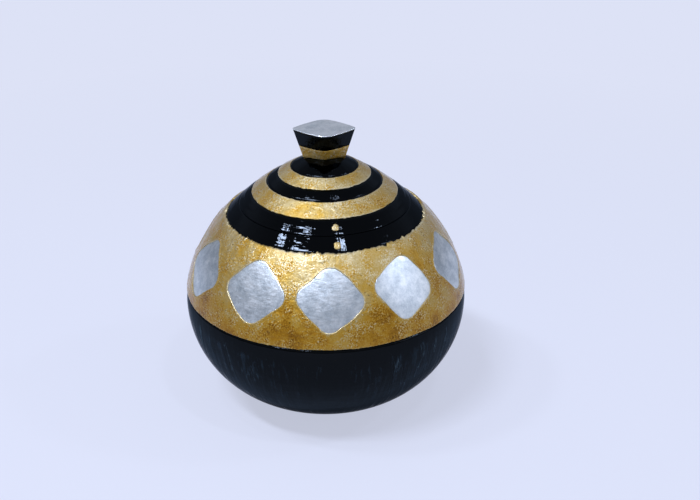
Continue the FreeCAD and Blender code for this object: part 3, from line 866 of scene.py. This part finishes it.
# %% Gold
def gold_leaf():
    """Grainy gilding: a tone from ochre to pale gold under a clear coat, with wrinkles, pits and glittering clusters.

    Tone = 0.5 + (grain - 0.5) * flecks + specks * flecks + patches + warmth + height + wear, on a colour ramp. The
    height's share is a painted highlight, paler higher up, and the wear's share is partly a painted highlight on rims.
    """
    finish, tree, place = material("gold_leaf_on_putty")
    patch_size, cluster_size, warm_size = 7 * MM, 6 * MM, 20 * MM
    wrinkle_size = 2.2 * MM
    # The grain and the pits of real leaf are near 0.2 mm. They are drawn coarser, because finer ones would not show.
    grain_size, pit_size = 0.6 * MM, 0.9 * MM
    patch_depth, wrinkle_depth, grain_depth = 0.2 * MM, 0.35 * MM, 0.18 * MM
    # Painted highlight: the gilding grows paler between these heights and above, as if lit more from above
    painted_highlight_from, painted_highlight_to = 56 * MM, 86 * MM
    patches = add(tree, NOISE, {"Vector": place, "Scale": 1 / patch_size, "Detail": 3.0, "Roughness": 0.55})
    grain = add(tree, NOISE, {"Vector": place, "Scale": 1 / grain_size, "Detail": 2.0, "Roughness": 0.6})
    clusters = add(tree, NOISE, {"Vector": place, "Scale": 1 / cluster_size, "Detail": 3.0, "Roughness": 0.7})
    warm = add(tree, NOISE, {"Vector": place, "Scale": 1 / warm_size})
    pits = add(tree, NOISE, {"Vector": place, "Scale": 1 / pit_size, "Detail": 1.0})
    height = add(tree, SPLIT, (place,), out="Z")
    # The pale rims read here are partly rubbed wear and partly a painted highlight
    wear_and_highlight = add(tree, "ShaderNodeAttribute", out="Fac", attribute_name="wear_and_highlight")

    flecks = add(tree, LEVELS, (clusters, 0.44, 0.62, 0.12, 1.0))
    specks = add(tree, LEVELS, (grain, 0.52, 0.68, 0.0, 0.22))
    tone = add(tree, MATH, (grain, 0.5), operation="SUBTRACT")
    tone = add(tree, MATH, (tone, flecks, 0.5), operation="MULTIPLY_ADD")
    tone = add(tree, MATH, (specks, flecks, tone), operation="MULTIPLY_ADD")
    for source, low, high, darker, paler in (
        (patches, 0.3, 0.7, -0.09, 0.09),
        (warm, 0.35, 0.65, -0.05, 0.05),
        # Painted highlight: paler higher up
        (height, painted_highlight_from, painted_highlight_to, -0.06, 0.09),
        (wear_and_highlight, -1.0, 1.0, -0.2, 0.2),
    ):
        shift = add(tree, LEVELS, (source, low, high, darker, paler))
        tone = add(tree, MATH, (tone, shift), operation="ADD")
    stops = ((0.3, "#784e0a"), (0.42, "#a6791a"), (0.5, "#b28e36"), (0.6, "#b2995a"), (0.8, "#c2b692"))
    colour = add(tree, RAMP, (tone,), stops=stops)
    colour = add(tree, VECTOR, (colour, add(tree, LEVELS, (pits, 0.25, 0.3, 0.3, 1.0))), operation="MULTIPLY")

    flattened = add(tree, VECTOR, (place, (0.6, 0.6, 1.0)), operation="MULTIPLY")
    wrinkles = add(tree, NOISE, {"Vector": flattened, "Scale": 1 / wrinkle_size})
    wrinkles = add(tree, MATH, (wrinkles, 0.5), operation="SUBTRACT")
    wrinkles = add(tree, MATH, (wrinkles,), operation="ABSOLUTE")
    raised = add(tree, MATH, (grain, flecks), operation="MULTIPLY")
    normal = add(tree, BUMP, {"Height": patches, "Distance": patch_depth})
    normal = add(tree, BUMP, {"Height": wrinkles, "Distance": wrinkle_depth, "Normal": normal})
    normal = add(tree, BUMP, {"Height": raised, "Distance": grain_depth, "Normal": normal})
    shader = add(
        tree,
        SURFACE,
        {
            "Base Color": colour,
            "Metallic": 1.0,
            "Roughness": add(tree, LEVELS, (grain, 0.3, 0.7, 0.68, 0.5)),
            "Normal": normal,
            "Coat Weight": 1.0,
            "Coat Roughness": 0.12,
            "Coat IOR": 1.24,
            "Coat Normal": normal,
        },
    )
    add(tree, OUTPUT, (shader,))
    return finish


keep("gold_leaf", gold_leaf())

# %% [markdown]
# ### Silver leaf
# The plates are silvered and then rubbed by hand. The eye sees satin, not a mirror: soft patches of two tones where
# the leaf overlaps, and rubbing marks that lie level. Roughness alone would look sprayed, so the marks also go into
# the bump, and each plate carries a tone of its own, with painted shade darkening the plates at the far left and
# right and a painted highlight paling the one right of the front.

# %% Silver
def silver_leaf():
    """Satin silver: a ramp over patches, each plate's tone and fine mottling, with rubbing marks in gloss and bump."""
    finish, tree, place = material("silver_leaf_rubbed")
    patch_size, patch_depth, mark_depth = 4.5 * MM, 0.07 * MM, 0.05 * MM
    # Rubbing marks are a few hundredths of a millimetre wide. They are drawn much coarser, or they would not show.
    mark_size, mottle_size = 0.8 * MM, 0.7 * MM
    patches = add(tree, NOISE, {"Vector": place, "Scale": 1 / patch_size, "Detail": 5.0, "Roughness": 0.7})
    mottle = add(tree, NOISE, {"Vector": place, "Scale": 1 / mottle_size, "Detail": 2.0, "Roughness": 0.6})
    level = add(tree, VECTOR, (place, (0.3, 0.3, 1.0)), operation="MULTIPLY")
    marks = add(tree, NOISE, {"Vector": level, "Scale": 1 / mark_size, "Detail": 3.0, "Roughness": 0.7})
    # The plates' tones carry painted shade on the far left and right plates and a painted highlight right of the front
    own = add(tree, "ShaderNodeAttribute", out="Fac", attribute_name="tone")
    tone = add(tree, MATH, (patches, add(tree, LEVELS, (own, -1.0, 1.0, -0.25, 0.25))), operation="ADD")
    fine = add(tree, MATH, (tone, add(tree, LEVELS, (mottle, 0.3, 0.7, -0.07, 0.07))), operation="ADD")
    normal = add(tree, BUMP, {"Height": tone, "Distance": patch_depth})
    normal = add(tree, BUMP, {"Height": marks, "Distance": mark_depth, "Normal": normal})
    shader = add(
        tree,
        SURFACE,
        {
            "Base Color": add(tree, RAMP, (fine,), stops=((0.3, "#b2bcbf"), (0.5, "#d1d8d8"), (0.7, "#e9edeb"))),
            "Metallic": 1.0,
            "Roughness": add(tree, LEVELS, (marks, 0.3, 0.7, 0.28, 0.46)),
            "Normal": normal,
        },
    )
    add(tree, OUTPUT, (shader,))
    return finish


keep("silver_leaf", silver_leaf())

# %% [markdown]
# ### Bare wood
# The dowel is plain turned wood, close-grained and never finished, and hidden in its hole while the lid is whole. Its
# grain runs along the pin, so one noise drawn out along the height gives both its colour and its ridges.

# %% Wood
def bare_wood():
    """Pale close-grained wood, with lines along the height that are twelve times as long as they are wide."""
    finish, tree, place = material("bare_turned_wood")
    # Real pores lie about 0.3 mm apart. They are drawn coarser, or they would not show.
    line_gap, line_depth = 1.2 * MM, 0.1 * MM
    upright = add(tree, VECTOR, (place, (1.0, 1.0, 0.08)), operation="MULTIPLY")
    lines = add(tree, NOISE, {"Vector": upright, "Scale": 1 / line_gap, "Detail": 3.0, "Roughness": 0.6})
    colour = add(tree, RAMP, (lines,), stops=((0.35, "#7d5a34"), (0.65, "#b08a5a")))
    normal = add(tree, BUMP, {"Height": lines, "Distance": line_depth})
    shader = add(tree, SURFACE, {"Base Color": colour, "Roughness": 0.6, "Normal": normal})
    add(tree, OUTPUT, (shader,))
    return finish


keep("bare_wood", bare_wood())

# %% [markdown]
# ### Which piece gets which
# Each new piece takes the finish of the slot that it was given. Three turned parts are right as the plain solids that
# they are: the foot and the ring inside the lid get lacquer, and the dowel gets wood.

# %% Put the finishes on
for piece in pieces.values():
    piece.data.materials.append(finishes[piece["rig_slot"]])
kept_nodes = {"foot": "black_lacquer", "lid_register_ring": "black_lacquer", "knob_dowel": "bare_wood"}
for name, slot in kept_nodes.items():
    for holder in nodes[name].material_slots:
        holder.material = finishes[slot]
print("finished", len(pieces), "pieces and", len(kept_nodes), "nodes")

# %% [markdown]
# ## Floor and room
# The pot stands on a plain pale floor in a plain room. The background has to look pale without lighting the pot
# more, so it is no brighter lamp. The camera's own rays meet a flat pale colour instead, reflections meet a part of
# it, and all other rays meet the real floor and a dimmer room. Near the pot the camera still sees the lit floor
# through that colour, so its shadow stays, and far away nothing of it is left, so no horizon shows.

# %% Floor
plain_colour = linear("#dde2f6")
mirrored_share = 0.25


def plain_share(tree, seen):
    """The share of the plain colour that a ray meets: the seen share for the camera, a quarter for gloss and glass."""
    direct, glossy, through = (
        add(tree, "ShaderNodeLightPath", out=ray) for ray in ("Is Camera Ray", "Is Glossy Ray", "Is Transmission Ray")
    )
    bent = add(tree, MATH, (glossy, through), operation="MAXIMUM")
    bent = add(tree, MATH, (bent, mirrored_share), operation="MULTIPLY")
    return add(tree, MATH, (direct, seen, bent), operation="MULTIPLY_ADD")


def pale_floor():
    """A diffuse floor under the plain colour, whose share grows from 0.7 at the pot to 1 at 0.5 m from it."""
    finish, tree, place = material("floor_pale")
    shadow_reach, plain_from = 0.12, 0.5
    away = add(tree, VECTOR, (place,), out="Value", operation="LENGTH")
    seen = add(tree, LEVELS, (away, shadow_reach, plain_from, 0.7, 1.0))
    lit = add(tree, "ShaderNodeBsdfDiffuse", {"Color": linear("#d2d3d8")})
    plain = add(tree, "ShaderNodeEmission", {"Color": plain_colour})
    add(tree, OUTPUT, (add(tree, "ShaderNodeMixShader", (plain_share(tree, seen), lit, plain)),))
    return finish


floor_half = 4.0
corners = [(-floor_half, -floor_half, 0), (floor_half, -floor_half, 0), (floor_half, floor_half, 0)]
floor_mesh = bpy.data.meshes.new("floor")
floor_mesh.from_pydata([*corners, (-floor_half, floor_half, 0)], [], [(0, 1, 2, 3)])
floor_mesh.materials.append(pale_floor())
floor = bpy.data.objects.new("floor", floor_mesh)
bpy.context.collection.objects.link(floor)
print("floor", 2 * floor_half, "m wide")

# %% Room
room = bpy.data.worlds.new("pale_room")
bpy.context.scene.world = room
room.use_nodes = True
room.node_tree.nodes.clear()


def light_room(tree):
    """A room that is dim low down, pale at 0.42 of the way up and dimmer overhead, under the plain colour."""
    direction = add(tree, "ShaderNodeTexCoord", out="Generated")
    upwards = add(tree, SPLIT, (direction,), out="Z")
    stops = ((0.0, "#5c5e68"), (0.28, "#70737f"), (0.42, "#b4b9ca"), (0.8, "#848898"))
    lit = add(tree, "ShaderNodeBackground", {"Color": add(tree, RAMP, (upwards,), stops=stops)})
    plain = add(tree, "ShaderNodeBackground", {"Color": plain_colour})
    sheet = add(tree, "ShaderNodeMixShader", (plain_share(tree, 1.0), lit, plain))
    add(tree, "ShaderNodeOutputWorld", (sheet,))


light_room(room.node_tree)
print("room has", len(room.node_tree.nodes), "nodes")

# %% [markdown]
# ## Lamps
# A glossy black pot shows its light as shapes, so each reflection in the photograph gives the place of a lamp. A
# window of three panes stands at the upper left, a narrower one further right, and small ones to the right and
# overhead. They are small and bright, because the lacquer mirrors only one or two parts in a hundred of them, while
# one large card at the right fills in the gold.

# %% Lamps
lamp_distance = 1.6
lamp_target = np.array([0, 0, 75 * MM])


def lamp(name, towards, width, height, radiance):
    """A rectangular lamp in a direction from the pot, facing it. Its power is radiance * pi * its area."""
    direction = np.array(towards) / np.linalg.norm(towards)
    light = bpy.data.lights.new(name, "AREA")
    light.shape = "RECTANGLE"
    light.size, light.size_y = width, height
    light.energy = radiance * math.pi * width * height
    light.color = linear("#dde6ff")[:3]
    holder = bpy.data.objects.new(name, light)
    holder.location = lamp_target + direction * lamp_distance
    holder.rotation_euler = Vector(direction.tolist()).to_track_quat("Z", "Y").to_euler()
    bpy.context.collection.objects.link(holder)
    print("%-16s %5.1f W" % (name, light.energy))


window = np.array([-0.37, -0.34, 0.86])
sideways = np.array([0.68, -0.74, 0.0])
upwards = np.cross(window, sideways)
window_radiance = 110.0
# Each pane: how far sideways and upwards of the window's middle, width and height in metres
panes = [(-0.28, -0.03, 0.17, 0.11), (0.10, -0.02, 0.50, 0.12), (0.02, 0.16, 0.12, 0.05)]
for aside, above, width, height in panes:
    lamp("window_pane", window + aside * sideways + above * upwards, width, height, window_radiance)
lamp("far_window", (0.24, -0.37, 0.88), 0.075, 0.17, window_radiance)
lamp("right_window", (0.71, -0.06, 0.63), 0.17, 0.06, 100.0)
lamp("overhead_left", (-0.29, 0.0, 0.96), 0.05, 0.03, window_radiance)
lamp("overhead_right", (0.18, -0.04, 0.98), 0.03, 0.03, window_radiance)
lamp("side_card_right", (0.90, -0.27, 0.35), 0.80, 0.80, 1.2)

# %% [markdown]
# ## Camera
# The camera was fitted to the ellipses of the pot's painted rings. It looks down 26 degrees from about half a metre,
# as someone would who holds a phone over a table. The pot stands left of the middle of the frame, which is a shift of
# the lens here, so that the pot isn't seen askew.

# %% Camera
# The fit in pixels of a frame 700 wide, and in degrees, radians and metres
frame_width, focal_length, left_of_middle = 700, 1200, 24.7
looks_down, roll = 25.95, -0.0108
stands_at = Vector((0, -0.4609, 0.2922))
camera = bpy.data.cameras.new("camera")
camera.sensor_width = 36.0
camera.lens = camera.sensor_width * focal_length / frame_width
camera.shift_x = left_of_middle / frame_width
viewer = bpy.data.objects.new("camera", camera)
bpy.context.collection.objects.link(viewer)
tilt = Matrix.Rotation(math.radians(90 - looks_down), 4, "X") @ Matrix.Rotation(roll, 4, "Z")
viewer.matrix_world = Matrix.Translation(stands_at) @ tilt
bpy.context.scene.camera = viewer
bpy.context.scene.view_settings.view_transform = "Standard"
print("camera looks down %.2f degrees from %.3f m away" % (looks_down, stands_at.length))
